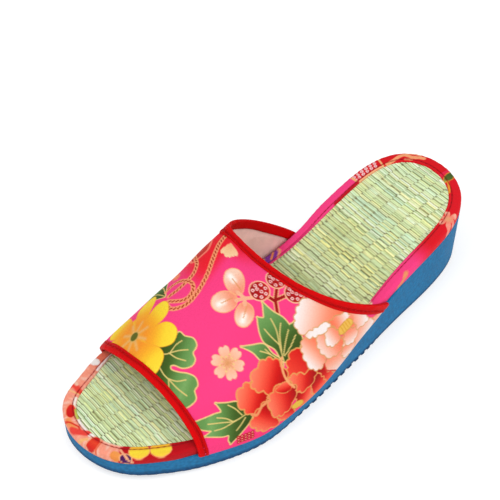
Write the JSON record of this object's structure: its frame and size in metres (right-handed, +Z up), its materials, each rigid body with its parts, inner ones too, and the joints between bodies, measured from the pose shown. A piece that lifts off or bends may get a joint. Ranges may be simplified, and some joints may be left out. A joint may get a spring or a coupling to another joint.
{
  "type": "open-toe house slipper",
  "caption": "Left open-toed wedge house slipper with a bound fabric vamp, a wrapped footbed edge and a woven rush footbed.",
  "frame": {"origin": "on the floor, under the middle of the slipper's bounding box", "axes": "+Z up, toe towards -Y, heel towards +Y, medial (big toe) side towards -X, lateral side towards +X"},
  "size_m": [0.0932, 0.25, 0.0667],
  "materials": {
    "eva_foam": "matte moulded foam, steel blue",
    "rim_cotton": "printed plain-weave cotton, reds, peach and pink",
    "rush": "woven rush stalks, pale green and straw, slight natural gloss",
    "vamp_cotton": "printed plain-weave cotton, flowers on hot pink",
    "binding_tape": "bias-cut cotton tape, bright red, low sheen"
  },
  "bodies": {
    "root": {"sole": "eva_foam", "footbed_rim": "rim_cotton", "rush_insole": "rush", "vamp": "vamp_cotton", "toe_binding": "binding_tape", "collar_binding": "binding_tape"}
  },
  "joints": []
}
